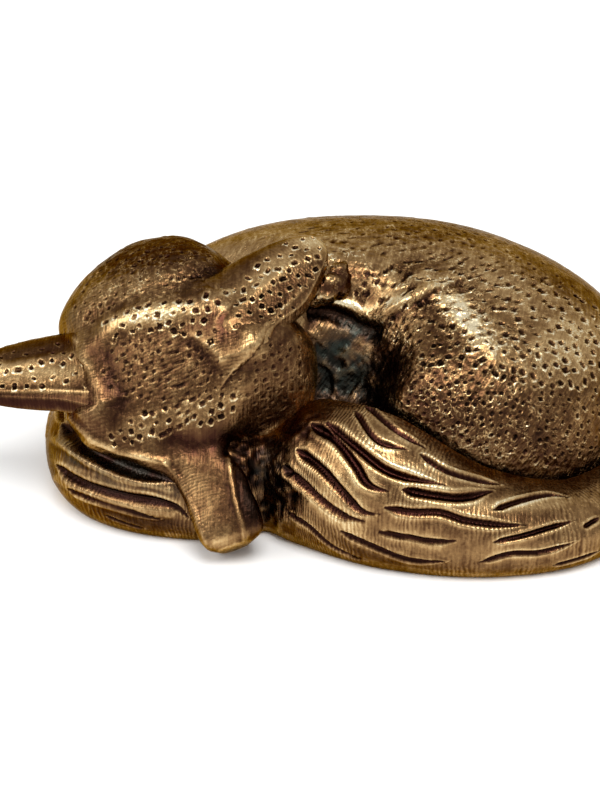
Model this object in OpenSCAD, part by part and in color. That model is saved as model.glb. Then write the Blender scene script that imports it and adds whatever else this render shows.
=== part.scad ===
// Curled sleeping fox, an antiqued brass desk ornament built up from separate castings.
// The fox lies nose down with its brush wrapped round the front. All sizes are in millimetres.
// +Z is up, +X is to the right as you face the muzzle, and the floor is z = 0.

/* [Body casting] */
// Length of the body from shoulder to rump
body_length = 100; // [92:1:108]
// Height of the back above the floor
body_height = 41; // [38:0.5:44]
// Height of the widest line of the body
body_waist = 10; // [8:0.5:12]
// Thickness of the cast wall
wall = 3.5; // [2.8:0.1:4.2]

/* [Head casting] */
// Length of the head from crown to nose
head_length = 56; // [52:0.5:60]
// Width across the cheeks
head_width = 38; // [35:0.5:41]
// Width of the muzzle
muzzle_width = 9; // [7:0.25:11]

/* [Tail casting] */
// Height of the brush where it is fullest
brush_height = 23; // [20:0.5:26]
// Width of the brush where it is fullest
brush_width = 24; // [21:0.5:27]
// Depth of the strokes carved in the brush
stroke_depth = 1.1; // [0.4:0.1:1.6]
// Strokes in one full turn round the brush
strokes = 12; // [8:1:14]

/* [Ears] */
// Length of an ear from root to tip
ear_length = 28; // [25:0.5:31]
// Width of an ear
ear_width = 15; // [13:0.25:17]
// Thickness of an ear
ear_thick = 6.5; // [5:0.25:8]

/* [Fixings] */
// Diameter of the stud that holds the head
stud_d = 4; // [3:0.5:5]
// Diameter of the screws that hold the brush
screw_d = 3; // [2.5:0.5:4]

/* [Fit] */
// Clearance between two castings that seat on each other
seat_gap = 0.15; // [0.1:0.05:0.3]
// Open slit left between the cheeks and the brush
cheek_gap = 0.5; // [0.3:0.05:0.8]

/* [Hidden] */
brass = "#8a6a34";
bright = "#b08d4c";
steel = "#8f8f8c";

// Small helpers
function clamp(x, lo, hi) = min(max(x, lo), hi);
function spow(x, k) = sign(x) * pow(abs(x), k);
function falloff(d, r, k) = exp(-pow(d / r, k));
function unit(v) = v / norm(v);
// A place on the floor plan, drawn for a body 100 long, with the middle of the footprint at zero
footprint_middle = [1.8, 1.2];
function plan(x, y) = ([x, y] - footprint_middle) * body_length / 100;

// Cubic through the rows of a table, each row a station followed by its values
function row_of(table, t, i = 0) =
    i >= len(table) - 2 || t < table[i + 1][0] ? i : row_of(table, t, i + 1);
function slope_of(table, i) =
    let(a = max(i - 1, 0), b = min(i + 1, len(table) - 1))
    (table[b] - table[a]) / (table[b][0] - table[a][0]);
function spline(table, t) =
    let(i = row_of(table, t), p = table[i], q = table[i + 1], h = q[0] - p[0],
        s = clamp((t - p[0]) / h, 0, 1), s2 = s * s, s3 = s2 * s)
    (2 * s3 - 3 * s2 + 1) * p + (s3 - 2 * s2 + s) * h * slope_of(table, i)
    + (3 * s2 - 2 * s3) * q + (s3 - s2) * h * slope_of(table, i + 1);

// Closed skin over a list of rings with the same number of points, with a fan at each end
module skin(rings) {
    n = len(rings);
    m = len(rings[0]);
    mid = function (r) [for (k = [0:2]) [for (p = r) p[k]] * [for (p = r) 1] / len(r)];
    points = [mid(rings[0]), for (r = rings) each r, mid(rings[n - 1])];
    last = len(points) - 1;
    polyhedron(points, [
        for (j = [0:m - 1]) [0, 1 + j, 1 + (j + 1) % m],
        for (i = [0:n - 2], j = [0:m - 1]) let(a = 1 + i * m, b = a + m, k = (j + 1) % m)
            each [[a + j, b + j, b + k], [a + j, b + k, a + k]],
        for (j = [0:m - 1]) [last, last - m + (j + 1) % m, last - m + j]
    ]);
}

// Body: a dome over a rounded plan, dented where the head lies and where the belly is tucked in
body_centre = plan(10, 8);
tuck = 25;
// Bearing round the centre, radius of the widest line as a share of half the length, and fullness
plan_rows = [
    [0, 1.00, 0.92],
    [30, 0.85, 0.92],
    [60, 0.68, 0.90],
    [90, 0.62, 0.90],
    [120, 0.68, 0.90],
    [150, 0.83, 0.90],
    [180, 0.90, 0.85],
    [210, 0.60, 0.75],
    [240, 0.46, 0.70],
    [270, 0.54, 0.72],
    [300, 0.72, 0.80],
    [330, 0.90, 0.90],
    [360, 1.00, 0.92],
];
// Each dent is a plan place, a reach, a steepness and a depth
dents = [
    [plan(-22, -8), 18, 4, 16],
    [plan(7, -12.5), 11, 4.5, 20],
    [plan(21, -9), 13, 2, 5],
];
function dented(x, y, z, grow, i = 0) = i >= len(dents) ? z :
    let(b = dents[i], w = falloff(norm([x, y] - b[0]), b[1] - grow, b[2]))
    dented(x, y, z * (1 - (b[3] - 0.3 * grow) * w / body_height), grow, i + 1);
function body_radius(row, grow) = row[1] * body_length / 2 + grow;
function body_point(q, e, grow) =
    let(row = spline(plan_rows, q), r = body_radius(row, grow) * pow(cos(e), row[2]),
        x = body_centre[0] + r * cos(q), y = body_centre[1] + r * sin(q),
        up = (body_height + grow - body_waist) * pow(max(sin(e), 0), row[2]),
        z = body_waist * (e < 0 ? 1 - sin(-e) / sin(tuck) : 1) + up)
    [x, y, dented(x, y, z, grow)];
function bearing_of(p) = let(d = p - body_centre) (atan2(d[1], d[0]) + 360) % 360;
// Radius of the undented wall at a bearing and a height
function wall_radius(q, z, grow) =
    let(row = spline(plan_rows, q), up = (z - body_waist) / (body_height + grow - body_waist),
        e = up > 0 ? asin(min(1, pow(up, 1 / row[2]))) : asin((1 - z / body_waist) * sin(tuck)))
    body_radius(row, grow) * pow(cos(e), row[2]);
// Height of the body over a place on the plan
function body_top(p, grow = 0) =
    let(q = bearing_of(p), row = spline(plan_rows, q), share = norm(p - body_centre) / body_radius(row, grow),
        e = acos(pow(min(1, share), 1 / row[2])))
    body_point(q, e, grow)[2];
module body_form(grow, low, sides = 56, rings = 24) {
    skin([for (i = [0:rings - 1])
        let(e = -tuck + (90 + tuck) * i / rings)
        [for (j = [0:sides - 1])
            let(p = body_point(360 * j / sides, e, grow)) i == 0 ? [p[0], p[1], low] : p]]);
}

// Head: sections square to a line from the crown to the nose
nose = [each plan(-12.2, -30.5), 3.4];
// The head and the right ear lie on a back of this height, and lean more when the back is higher
drawn_height = 41;
lean = body_height / drawn_height;
down = unit([16.8, -38.5, -35.6 * lean]);
across = unit(cross([-0.265, -0.719, 0.642], down));
out = cross(down, across);
crown = nose - down * head_length;
muzzle = muzzle_width / head_width;
// Share of the length, half width, depth in front, depth behind, squareness, shift to the right
head_rows = [
    [0.00, 0.10, 0.5, 2, 2.0, 0],
    [0.03, 0.40, 3.0, 9, 2.0, 0],
    [0.08, 0.62, 6.0, 14, 2.1, -0.6],
    [0.16, 0.81, 9.3, 18, 2.3, -0.8],
    [0.25, 0.90, 11.5, 20, 2.0, 0.0],
    [0.36, 0.99, 11.0, 19, 2.3, 1.8],
    [0.48, 0.99, 10.0, 15, 2.9, 3.2],
    [0.58, 0.80, 8.6, 12, 2.8, 2.0],
    [0.65, 0.52, 7.0, 10, 2.6, 0.8],
    [0.71, muzzle * 1.22, 5.6, 8, 3.2, 0.2],
    [0.80, muzzle * 1.02, 4.9, 6.8, 3.8, 0],
    [0.93, muzzle * 0.98, 4.3, 5.6, 3.8, 0],
    [0.98, muzzle * 0.85, 3.4, 4.2, 3.0, 0],
    [1.00, muzzle * 0.50, 1.8, 2.4, 2.4, 0],
];
head_sides = 36;
head_rings = 30;
function head_section(s, grow) =
    let(r = spline(head_rows, s), w = max(r[1], 0.02) * head_width / 2 + grow, front = r[2] + grow,
        back = r[3] + grow, end = s == 0 ? -grow : s == 1 ? grow : 0,
        c = crown + down * (head_length * s + end))
    [for (j = [0:head_sides - 1])
        let(q = 360 * j / head_sides, x = w * spow(cos(q), 2 / r[4]) + r[5],
            y = spow(sin(q), 2 / r[4]) * (sin(q) > 0 ? front : back))
        c + across * x + out * y];
module head_form(grow) {
    skin([for (i = [0:head_rings]) head_section(i / head_rings, grow)]);
}

// Ears: sections from a narrow root inside the head to a round tip
// Share of the length, half width, half thickness
ear_rows = [
    [0.00, 0.70, 0.20],
    [0.10, 0.98, 0.60],
    [0.22, 1.12, 0.88],
    [0.45, 1.02, 0.98],
    [0.70, 0.84, 0.84],
    [0.86, 0.62, 0.64],
    [0.96, 0.34, 0.40],
    [1.00, 0.08, 0.12],
];
// Outline of a section: bearing, share across, share up; crisp at the lower edge, full along the upper
ear_outline = [
    [0, 0.92, 0.30],
    [30, 0.70, 0.62],
    [60, 0.38, 0.88],
    [90, 0.00, 1.00],
    [120, -0.42, 1.00],
    [150, -0.80, 0.68],
    [180, -1.00, 0.10],
    [215, -0.78, -0.55],
    [270, 0.00, -0.80],
    [320, 0.74, -0.78],
    [345, 1.00, -0.40],
    [360, 0.92, 0.30],
];
ear_sides = 24;
ear_rings = 16;
// Place of an ear root in the head: shares of the length and half width, then the depth in front
function on_head(s, w, f) = crown + down * (s * head_length) + across * (w * head_width / 2) + out * f;
// Each ear is its root, its direction, the way its face looks, and the hand of its section
right_way = unit([0.73, 0.605, 0.345 * lean]);
right_set = [on_head(0.41, 0.46, 8.6) - right_way * 1.2, right_way, unit([-0.17, -0.48, 0.86]), 1];
left_set = [on_head(0.38, -0.36, 4.6), unit([-28, 1.8, -3.4]), unit([0, -0.3, 0.95]), -1];
right_tip = right_set[0] + right_set[1] * ear_length;
function ear_section(set, s, grow) =
    let(axis = set[1], hand = set[3], side = unit(cross(axis, set[2])) * hand,
        top = unit(set[2] - axis * (set[2] * axis)), r = spline(ear_rows, s),
        w = r[1] * ear_width / 2 + grow, t = r[2] * ear_thick / 2 + grow,
        end = s == 0 ? -grow : s == 1 ? grow : 0)
    [for (j = [0:ear_sides - 1])
        let(o = spline(ear_outline, hand > 0 ? 360 * j / ear_sides : 360 - 360 * j / ear_sides))
        set[0] + axis * (ear_length * s + end) + side * (w * o[1]) + top * (t * o[2])];
module ear_form(set, grow) {
    skin([for (i = [ear_rings:-1:0]) ear_section(set, i / ear_rings, grow)]);
}

// Brush: sections square to a path round the front of the body
// Station, x, y, half width, height
tail_rows = [
    [0.0, 58.5, 6, 0.26, 0.28],
    [0.8, 54, -10, 0.62, 0.42],
    [2.0, 44, -23, 0.75, 0.46],
    [3.2, 30, -26, 0.88, 0.65],
    [4.6, 15, -22, 1.08, 1.00],
    [5.8, 3, -16, 1.02, 1.00],
    [6.7, -6, -13, 0.80, 0.76],
    [7.7, -17, -14, 0.98, 0.78],
    [9.0, -31, -9, 0.96, 0.78],
    [10.2, -36.5, 4, 0.72, 0.62],
    [11.0, -36.5, 14, 0.45, 0.46],
    [11.6, -34, 20.5, 0.14, 0.22],
];
tail_sides = 40;
tail_rings = 46;
tail_end = tail_rows[len(tail_rows) - 1][0];
function tail_place(t) = let(r = spline(tail_rows, t)) plan(r[1], r[2]);
// Most of the points lie over the top, where the strokes are
function tail_angle(j) = j < 35 ? -22 + 224 * j / 34 : 202 + 136 * (j - 34) / 6;
// Whether a point stands clear of the body
function beside_body(p) =
    let(at = [p[0], p[1]], d = at - body_centre, q = bearing_of(at),
        edge = body_centre + unit(d) * wall_radius(q, body_waist, 0), squash = dented(edge[0], edge[1], 1, 0))
    norm(d) >= max(wall_radius(q, p[2], seat_gap), wall_radius(q, p[2] / squash, seat_gap));
// How far a level line across the brush runs before it meets the body, found by halving
function wall_at(c, d, z, lo, hi, n = 12) =
    let(x = (lo + hi) / 2, free = beside_body([c[0] + d[1] * x, c[1] - d[0] * x, z]))
    n == 0 ? lo : wall_at(c, d, z, free ? x : lo, free ? hi : x, n - 1);
// The side of a section that would run into the body is pressed flat against its wall
wall_squeeze = 0.12;
function pressed(x, w, limit) =
    let(start = limit - wall_squeeze * w) x < start ? x : start + (limit - start) * (x - start) / (w - start);
// The strokes slant down towards the root and run level near it
function stroke(q, t) = stroke_depth * min(1, t / 1.5, (tail_end - t) / 1.5)
    * pow(max(0, cos(strokes * (q + 1.5 * t * t))), 1.5);
function tail_section(t) =
    let(r = spline(tail_rows, t), c = plan(r[1], r[2]), d = unit(tail_place(t + 0.05) - tail_place(t - 0.05)),
        w = r[3] * brush_width / 2, h = r[4] * brush_height)
    [for (j = [0:tail_sides - 1])
        let(q = tail_angle(j), cut = stroke(q, t), x = (w - cut) * spow(cos(q), 0.85),
            z = max(0, h * 0.42 + (h * 0.58 - cut) * spow(sin(q), 0.85)),
            at = pressed(x, w, wall_at(c, d, z, -w, w)))
        [c[0] + d[1] * at, c[1] - d[0] * at, z]];
module tail_form() {
    skin([for (i = [tail_rings:-1:0]) tail_section(tail_end * i / tail_rings)]);
}

// Neck stud: upright through the seat of the head, with a boss for its washer
stud_at = plan(-17, 6);
nut_t = 3.2;
boss_z = body_top(stud_at, -wall) - 2;
washer_t = 0.8;
stud_foot = boss_z - washer_t - nut_t - 1.6;
stud_head = body_top(stud_at) + 9;

// Brush screws: square to the wall at three bearings, each with a boss for its washer
screw_bearings = [180, 268, 302];
screw_reach = 6.5;
boss_rise = 1.6;
seat_in = -wall - boss_rise;
module at_screws() {
    for (q = screw_bearings) {
        p = body_point(q, 0, 0);
        t = body_point(q + 1, 0, 0) - body_point(q - 1, 0, 0);
        translate(p) rotate([0, 0, atan2(-t[0], t[1])]) rotate([0, 90, 0]) children();
    }
}
module span(d, from, to) {
    translate([0, 0, from]) cylinder(d = d, h = to - from, $fn = 32);
}
module ring(d, bore, from, to) {
    difference() {
        span(d, from, to);
        span(bore, from - 1, to + 1);
    }
}

// Hollow shell, open underneath, with bosses left standing for the fixings
module body_casting() {
    color(brass) difference() {
        body_form(0, 0);
        difference() {
            body_form(-wall, -1, 40, 18);
            at_screws() span(3 * screw_d, seat_in, 1);
            translate([each stud_at, 0]) span(3 * stud_d, boss_z, boss_z + 10);
        }
        at_screws() span(screw_d + 0.4, seat_in - 1, 2);
        translate([each stud_at, 0]) span(stud_d + 0.4, boss_z - 1, stud_head);
    }
}

// Solid skull and muzzle, cut to sit on the shoulder, with sockets for the ears and the stud
module head_casting() {
    color(brass) difference() {
        head_form(0);
        body_form(seat_gap, -1);
        ear_form(left_set, seat_gap);
        ear_form(right_set, seat_gap);
        translate([each stud_at, 0]) span(stud_d + 0.1, boss_z, stud_head + 0.5);
    }
}
module left_ear() {
    color(brass) ear_form(left_set, 0);
}
module right_ear() {
    color(brass) ear_form(right_set, 0);
}

// Solid brush with its carved strokes, shaped to the wall of the body and cut to clear the head
module tail_casting() {
    color(brass) difference() {
        tail_form();
        head_form(cheek_gap);
        at_screws() span(screw_d + 0.1, -2, screw_reach + 0.5);
    }
}

module neck_stud() {
    r = stud_d / 2;
    bevel = 0.4;
    color(steel) translate([each stud_at, 0]) rotate_extrude($fn = 64)
        polygon([[0, stud_foot], [r - bevel, stud_foot], [r, stud_foot + bevel],
            [r, stud_head - bevel], [r - bevel, stud_head], [0, stud_head]]);
}
module neck_washer() {
    color(steel) translate([each stud_at, 0]) ring(2.25 * stud_d, stud_d + 0.3, boss_z - washer_t, boss_z);
}
module neck_nut() {
    color(steel) translate([each stud_at, boss_z - washer_t - nut_t]) difference() {
        intersection() {
            cylinder(d = 1.75 * stud_d / cos(30), h = nut_t, $fn = 6);
            translate([0, 0, -1]) cylinder(d1 = 1.75 * stud_d, d2 = 1.75 * stud_d + 6, h = 3, $fn = 32);
        }
        span(stud_d + 0.1, -1, nut_t + 1);
    }
}
module tail_screws() {
    color(steel) at_screws() difference() {
        union() {
            span(screw_d, seat_in - washer_t, screw_reach);
            span(1.9 * screw_d, seat_in - washer_t - 0.7 * screw_d, seat_in - washer_t);
        }
        translate([-0.4, -screw_d, seat_in - washer_t - screw_d]) cube([0.8, 2 * screw_d, 0.6 * screw_d]);
    }
}
module tail_washers() {
    color(steel) at_screws() ring(2.4 * screw_d, screw_d + 0.3, seat_in - washer_t, seat_in);
}

// Lump of solder run between the tip of the right ear and the flank, a run of drops
// Each drop: place from the tip of the ear, and radius
solder_drops = [[-1.5, -4.2, 2.7], [0.4, -3.8, 3], [2.4, -3.6, 2.7], [3.4, -1.8, 2.4]];
module solder_drop(d) {
    p = [right_tip[0] + d[0], right_tip[1] + d[1]];
    translate([each p, body_top(p) + 1.2]) sphere(r = d[2], $fn = 24);
}
module ear_tip_solder() {
    color(bright) difference() {
        for (i = [1:len(solder_drops) - 1])
            hull() {
                solder_drop(solder_drops[i - 1]);
                solder_drop(solder_drops[i]);
            }
        body_form(seat_gap, -1);
        ear_form(right_set, 0.05);
    }
}

body_casting();
head_casting();
left_ear();
right_ear();
tail_casting();
neck_stud();
neck_washer();
neck_nut();
tail_screws();
tail_washers();
ear_tip_solder();
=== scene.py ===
# Looks for the sleeping fox, an antiqued brass ornament built up from castings
# The forms repeat the formulas of the CAD source in millimetres and are scaled to metres at the end
import bpy
import bmesh
import math
import numpy as np
from functools import partial
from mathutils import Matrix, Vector, kdtree


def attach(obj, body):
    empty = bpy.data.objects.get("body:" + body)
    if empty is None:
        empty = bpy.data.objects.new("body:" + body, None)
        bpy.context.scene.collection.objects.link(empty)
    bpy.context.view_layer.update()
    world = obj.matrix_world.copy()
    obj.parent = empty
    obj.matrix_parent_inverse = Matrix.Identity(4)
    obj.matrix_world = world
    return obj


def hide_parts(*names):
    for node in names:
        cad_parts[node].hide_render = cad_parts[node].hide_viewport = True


mm = 0.001
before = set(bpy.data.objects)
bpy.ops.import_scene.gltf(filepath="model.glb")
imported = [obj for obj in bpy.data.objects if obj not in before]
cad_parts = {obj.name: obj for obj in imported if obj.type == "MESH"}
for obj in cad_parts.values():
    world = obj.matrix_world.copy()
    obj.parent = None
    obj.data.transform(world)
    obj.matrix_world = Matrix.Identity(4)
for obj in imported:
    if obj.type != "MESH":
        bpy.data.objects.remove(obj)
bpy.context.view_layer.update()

# The photograph's view: the point looked at in mm, the distance, the height of the eye in degrees
# and the scale at that point in pixels per mm
view = {"aim": (-2.7, -1.2, 13.9), "distance": 450.0, "elevation": 30.0, "scale": 5.8,
        "middle": (300.0, 400.0), "imageHeight": 800.0, "sensor": 36.0}
up = math.radians(view["elevation"])
toEye = np.array([0.0, -math.cos(up), math.sin(up)])
viewUp = np.array([0.0, math.sin(up), math.cos(up)])


def photoPlace(points):
    # pixel of the photograph where each point falls
    rel = points - np.array(view["aim"])
    reach = view["scale"] * view["distance"] / (view["distance"] - rel @ toEye)
    return np.stack([view["middle"][0] + rel[:, 0] * reach, view["middle"][1] - rel @ viewUp * reach], 1)


def unit(v):
    v = np.asarray(v, float)
    return v / np.linalg.norm(v)


def signedPower(x, k):
    return np.sign(x) * np.abs(x) ** k


def alongTable(table, t):
    # cubic through the rows of a table, as in the CAD source
    table = np.asarray(table, float)
    n = len(table)
    before, after = np.maximum(np.arange(n) - 1, 0), np.minimum(np.arange(n) + 1, n - 1)
    slope = (table[after] - table[before]) / (table[after, :1] - table[before, :1])
    t = np.asarray(t, float).ravel()
    i = np.clip(np.searchsorted(table[:, 0], t, side="right") - 1, 0, n - 2)
    p, q = table[i], table[i + 1]
    h = (q[:, 0] - p[:, 0])[:, None]
    s = np.clip((t[:, None] - p[:, :1]) / h, 0, 1)
    return ((2 * s**3 - 3 * s**2 + 1) * p + (s**3 - 2 * s**2 + s) * h * slope[i]
            + (3 * s**2 - 2 * s**3) * q + (s**3 - s**2) * h * slope[i + 1])


def smooth(x, lo, hi):
    s = np.clip((x - lo) / (hi - lo), 0, 1)
    return s * s * (3 - 2 * s)


def lattice(points, size, seed=0):
    # value noise from 0 to 1, the same on each run
    p = points / size + seed * 17.31
    cell = np.floor(p).astype(np.int64)
    f = p - cell
    f = f * f * (3 - 2 * f)
    total = np.zeros(len(p))
    for corner in np.ndindex(2, 2, 2):
        x, y, z = (cell + corner).T
        h = (x * 73856093) ^ (y * 19349663) ^ (z * 83492791)  # three large primes mix the corner's numbers
        h = (h ^ (h >> 13)) * 1274126177
        h = (h ^ (h >> 16)) & 0xFFFF
        wx, wy, wz = np.where(corner, f, 1 - f).T
        total += h / 65535.0 * wx * wy * wz
    return total


def layered(points, layers, seed):
    # noise from -0.5 to 0.5, in layers with a size in mm and a share
    return sum(lattice(points, size, seed + k) * share for k, (size, share) in enumerate(layers)) - 0.5


# Body: crowding draws the points of its grid together at the shares of the grid in crowdAt
body = {"length": 100.0, "height": 41.0, "waist": 10.0, "tuck": 25.0, "middle": (1.8, 1.2),
        "segments": 306, "crowdAt": (0.7, 0.3), "crowding": 0.42}


def plan(x, y):
    # a place on the plan, from the middle of the footprint
    return np.array([x - body["middle"][0], y - body["middle"][1]]) * body["length"] / 100


bodyCentre = plan(10, 8)
tuckAngle = math.radians(body["tuck"])
# bearing, radius as a share of half the length, roundness of the wall; the rows overlap past a full turn
planRows = [[-30, 0.9, 0.9], [0, 1.0, 0.92], [30, 0.85, 0.92], [60, 0.68, 0.9], [90, 0.62, 0.9],
            [120, 0.68, 0.9], [150, 0.83, 0.9], [180, 0.9, 0.85], [210, 0.6, 0.75], [240, 0.46, 0.7],
            [270, 0.54, 0.72], [300, 0.72, 0.8], [330, 0.9, 0.9], [360, 1.0, 0.92], [390, 0.85, 0.92]]
# place on the plan, reach, steepness, depth: under the head, the recess behind the cheek, the flank beside it
dents = [(plan(-22, -8), 18.0, 4, 16.0), (plan(5.2, -12.8), 10.2, 3.6, 20.0), (plan(21, -9), 13.0, 2, 5.0)]


def dented(x, y, z, grow=0.0):
    # heights on the body, lowered in its dents; grow is a margin outside the skin
    for at, reach, steepness, depth in dents:
        w = np.exp(-(np.hypot(x - at[0], y - at[1]) / (reach - grow)) ** steepness)
        z = z * (1 - (depth - 0.3 * grow) * w / body["height"])
    return z


def bodyPoint(bearing, e, grow=0.0):
    # e is the angle up the wall, below zero where the wall tucks in under the waist
    row = alongTable(planRows, bearing % 360)
    k = row[:, 2]
    r = (row[:, 1] * body["length"] / 2 + grow) * np.maximum(np.cos(e), 0) ** k
    x = bodyCentre[0] + r * np.cos(np.radians(bearing))
    y = bodyCentre[1] + r * np.sin(np.radians(bearing))
    rise = (body["height"] + grow - body["waist"]) * np.maximum(np.sin(e), 0) ** k
    z = body["waist"] * np.where(e < 0, 1 - np.sin(-e) / math.sin(tuckAngle), 1) + rise
    return np.stack([x, y, dented(x, y, z, grow)], 1)


def bearingOf(x, y):
    return np.degrees(np.arctan2(y - bodyCentre[1], x - bodyCentre[0])) % 360


def wallRadius(bearing, z, grow=0.0):
    # how far the wall stands from the centre at a height
    row = alongTable(planRows, bearing)
    k = row[:, 2]
    rise = (z - body["waist"]) / (body["height"] + grow - body["waist"])
    over = np.arcsin(np.minimum(1, np.maximum(rise, 0) ** (1 / k)))
    under = np.arcsin(np.clip((1 - z / body["waist"]) * math.sin(tuckAngle), -1, 1))
    return (row[:, 1] * body["length"] / 2 + grow) * np.cos(np.where(rise > 0, over, under)) ** k


def bodyTop(x, y, grow=0.0):
    # height of the body over places on the plan, and the share of its radius that they stand at
    bearing = bearingOf(x, y)
    row = alongTable(planRows, bearing)
    share = np.hypot(x - bodyCentre[0], y - bodyCentre[1]) / (row[:, 1] * body["length"] / 2 + grow)
    e = np.arccos(np.minimum(1, share) ** (1 / row[:, 2]))
    return bodyPoint(bearing, e, grow)[:, 2], share


# Head: sections square to a line from the crown to the nose
head = {"length": 56.0, "width": 38.0, "muzzle": 9.0, "rings": 250, "sides": 340}
nose = np.array([*plan(-12.2, -30.5), 3.4])
down = unit([16.8, -38.5, -35.6])
across = unit(np.cross([-0.265, -0.719, 0.642], down))
out = np.cross(down, across)
crown = nose - down * head["length"]
muzzleShare = head["muzzle"] / head["width"]
# share of the length, width, height over the line, depth under it, squareness, shift to the side
headRows = [[0, 0.1, 0.5, 2, 2, 0], [0.03, 0.4, 3, 9, 2, 0], [0.08, 0.62, 6, 14, 2.1, -0.6],
            [0.16, 0.81, 9.3, 18, 2.3, -0.8], [0.25, 0.9, 11.5, 20, 2, 0], [0.36, 0.99, 11, 19, 2.3, 1.8],
            [0.48, 0.99, 10, 15, 2.9, 3.2], [0.58, 0.8, 8.6, 12, 2.8, 2], [0.65, 0.52, 7, 10, 2.6, 0.8],
            [0.71, muzzleShare * 1.22, 5.6, 8, 3.2, 0.2], [0.8, muzzleShare * 1.02, 4.9, 6.8, 3.8, 0],
            [0.93, muzzleShare * 0.98, 4.3, 5.6, 3.8, 0], [0.98, muzzleShare * 0.85, 3.4, 4.2, 3, 0],
            [1, muzzleShare * 0.5, 1.8, 2.4, 2.4, 0]]


def headPoint(s, bearing):
    r = alongTable(headRows, s)
    c, n = np.cos(np.radians(bearing)), np.sin(np.radians(bearing))
    x = np.maximum(r[:, 1], 0.02) * head["width"] / 2 * signedPower(c, 2 / r[:, 4]) + r[:, 5]
    y = signedPower(n, 2 / r[:, 4]) * np.where(n > 0, r[:, 2], r[:, 3])
    return crown + down * (head["length"] * s)[:, None] + across * x[:, None] + out * y[:, None]


# Ears: sections from a narrow root inside the head to a round tip, crisp at the lower edge
ear = {"length": 28.0, "width": 15.0, "thick": 6.5, "rings": 170, "sides": 190}
# share of the length, width, thickness
earRows = [[0, 0.7, 0.2], [0.1, 0.98, 0.6], [0.22, 1.12, 0.88], [0.45, 1.02, 0.98], [0.7, 0.84, 0.84],
           [0.86, 0.62, 0.64], [0.96, 0.34, 0.4], [1, 0.08, 0.12]]
# bearing in the section, across, up
earOutline = [[0, 0.92, 0.3], [30, 0.7, 0.62], [60, 0.38, 0.88], [90, 0, 1], [120, -0.42, 1],
              [150, -0.8, 0.68], [180, -1, 0.1], [215, -0.78, -0.55], [270, 0, -0.8],
              [320, 0.74, -0.78], [345, 1, -0.4], [360, 0.92, 0.3]]


def onHead(s, w, f):
    # down the line by s, across by w, out by f in mm
    return crown + down * (s * head["length"]) + across * (w * head["width"] / 2) + out * f


rightWay = unit([0.73, 0.605, 0.345])
# sweep is how much wider the root gets where it joins the skull
rightSet = {"root": onHead(0.41, 0.46, 8.6) - rightWay * 1.2, "axis": rightWay,
            "face": unit([-0.17, -0.48, 0.86]), "hand": 1, "sweep": 0.15}
leftSet = {"root": onHead(0.38, -0.36, 4.6), "axis": unit([-28, 1.8, -3.4]),
           "face": unit([0, -0.3, 0.95]), "hand": -1, "sweep": 0.7}


def earPoint(place, s, bearing):
    side = unit(np.cross(place["axis"], place["face"])) * place["hand"]
    top = unit(place["face"] - place["axis"] * (place["face"] @ place["axis"]))
    r, o = alongTable(earRows, s), alongTable(earOutline, bearing)
    sweep = 1 + place["sweep"] * (1 - smooth(s, 0.08, 0.42)) ** 1.5
    x = r[:, 1] * ear["width"] / 2 * o[:, 1] * (1 + (sweep - 1) * 0.5)
    y = r[:, 2] * ear["thick"] / 2 * o[:, 2] * sweep
    return place["root"] + place["axis"] * (ear["length"] * s)[:, None] + side * x[:, None] + top * y[:, None]


# Brush: sections square to a path round the front of the body
brush = {"width": 24.0, "height": 23.0, "middleUp": 0.42, "halfHeight": 0.58, "squareness": 0.85,
         "rootRound": 0.9, "tipRound": 0.9, "rings": 520, "sides": 180}
# station, place on the plan, width, height
brushRows = [[0, 58.5, 6, 0.26, 0.28], [0.8, 54, -10, 0.62, 0.42], [2, 44, -23, 0.75, 0.46],
             [3.2, 30, -26, 0.88, 0.65], [4.6, 15, -22, 1.08, 1], [5.8, 3, -16, 1.02, 1],
             [6.7, -6, -13, 0.8, 0.76], [7.7, -17, -14, 0.98, 0.78], [9, -31, -9, 0.96, 0.78],
             [10.2, -36.5, 4, 0.72, 0.62], [11, -36.5, 14, 0.45, 0.46], [11.6, -34, 20.5, 0.14, 0.22]]
brushEnd = brushRows[-1][0]


def besideBody(x, y, z, gap=0.15):
    # whether a point is clear of the body, dents included
    bearing = bearingOf(x, y)
    edge = wallRadius(bearing, np.full(len(x), body["waist"]))
    squash = dented(bodyCentre[0] + edge * np.cos(np.radians(bearing)),
                    bodyCentre[1] + edge * np.sin(np.radians(bearing)), np.ones(len(x)))
    reach = np.maximum(wallRadius(bearing, z, gap), wallRadius(bearing, z / squash, gap))
    return np.hypot(x - bodyCentre[0], y - bodyCentre[1]) >= reach


def brushFrame(t):
    # middle of a section, the way that the path runs, half width and height; both ends are rounded
    r = alongTable(brushRows, t)
    ahead = alongTable(brushRows, np.clip(t + 0.05, 0, brushEnd))[:, 1:3]
    behind = alongTable(brushRows, np.clip(t - 0.05, 0, brushEnd))[:, 1:3]
    d = ahead - behind
    d /= np.linalg.norm(d, axis=1)[:, None]
    left = np.clip(np.minimum(t / brush["rootRound"], (brushEnd - t) / brush["tipRound"]), 0, 1)
    share = np.sqrt(1 - (1 - left) ** 2) + 0.01
    return (r[:, 1:3] - np.array(body["middle"]), d, r[:, 3] * brush["width"] / 2 * share,
            r[:, 4] * brush["height"] * share)


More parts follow.
